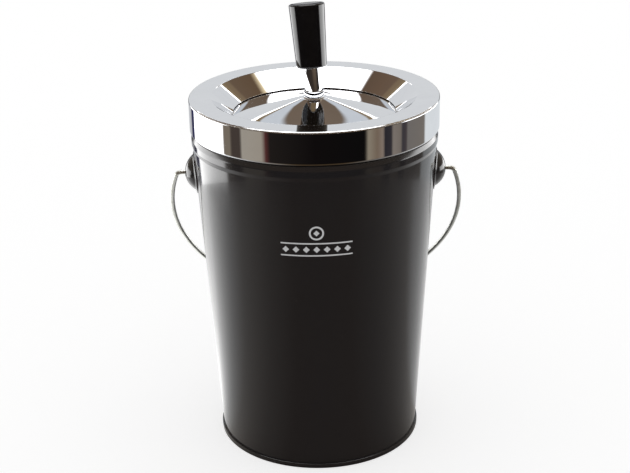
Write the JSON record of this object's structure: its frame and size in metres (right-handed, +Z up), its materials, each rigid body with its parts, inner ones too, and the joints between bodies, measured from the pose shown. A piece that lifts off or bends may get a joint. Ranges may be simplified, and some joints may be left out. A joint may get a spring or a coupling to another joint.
{
  "type": "ashtray bin",
  "caption": "Tapered metal bucket with a wire handle and a chromed lid whose knob presses down and spins a shallow cone plate to drop ash inside.",
  "frame": {"origin": "on the bucket's axis, in the plane that the bucket stands on", "axes": "+Z up along the bucket's axis; the front faces -Y; the handle's pivots are at +X and -X and it rests against the back"},
  "size_m": [0.1948, 0.16, 0.2932],
  "materials": {
    "black_enamel": "stoved gloss enamel on tinplate",
    "chrome_plate": "bright chrome plate",
    "zinc_wire": "drawn wire, zinc plated",
    "zinc_steel": "pressed steel, zinc plated",
    "spring_steel": "drawn spring wire",
    "brass": "turned brass",
    "white_nylon": "natural nylon",
    "black_plastic": "polished moulded plastic",
    "light_print": "pad-printed ink"
  },
  "bodies": {
    "bucket": {"bucket_shell": "black_enamel", "bucket_base": "black_enamel", "right_ear": "black_enamel", "left_ear": "black_enamel"},
    "handle": {"bail_handle": "zinc_wire"},
    "lid": {"lid_shell": "chrome_plate", "bridge_strap": "zinc_steel", "twist_spindle": "zinc_steel", "spindle_washer": "zinc_steel", "spindle_nut": "zinc_steel", "spring_seat": "zinc_steel"},
    "carriage": {"return_spring": "spring_steel", "spring_cap": "zinc_steel", "thrust_washer": "white_nylon"},
    "spinner": {"drive_nut": "brass", "spinner_plate": "chrome_plate", "hub_collar": "chrome_plate"},
    "stem": {"stem_tube": "chrome_plate", "stem_foot": "brass", "stem_plug": "zinc_steel", "knob": "black_plastic"}
  },
  "joints": [
    {"name": "lid_lift", "type": "slide", "parent": "bucket", "child": "lid", "axis": [0, 0, 1], "range_m": [0, 0.06]},
    {"name": "handle_swing", "type": "hinge", "parent": "bucket", "child": "handle", "pos_m": [0, 0, 0.1838], "axis": [1, 0, 0], "range_deg": [0, 297.4]},
    {"name": "knob_press", "type": "slide", "parent": "lid", "child": "carriage", "axis": [0, 0, -1], "range_m": [0, 0.014], "stiffness_N_per_m": 250, "springref_m": -0.012, "deforming": ["return_spring"]},
    {"name": "plate_spin", "type": "hinge", "parent": "carriage", "child": "spinner", "pos_m": [0, 0, 0.23327], "axis": [0, 0, 1], "range_deg": [-180, 0]},
    {"name": "stem_tilt", "type": "hinge", "parent": "carriage", "child": "stem", "pos_m": [0, 0, 0.23517], "axis": [0.891, 0.454, 0], "range_deg": [0, 16.8]}
  ],
  "couplings": [
    {"joint": "plate_spin", "follows": "knob_press", "rad_per_m": -224.39}
  ]
}
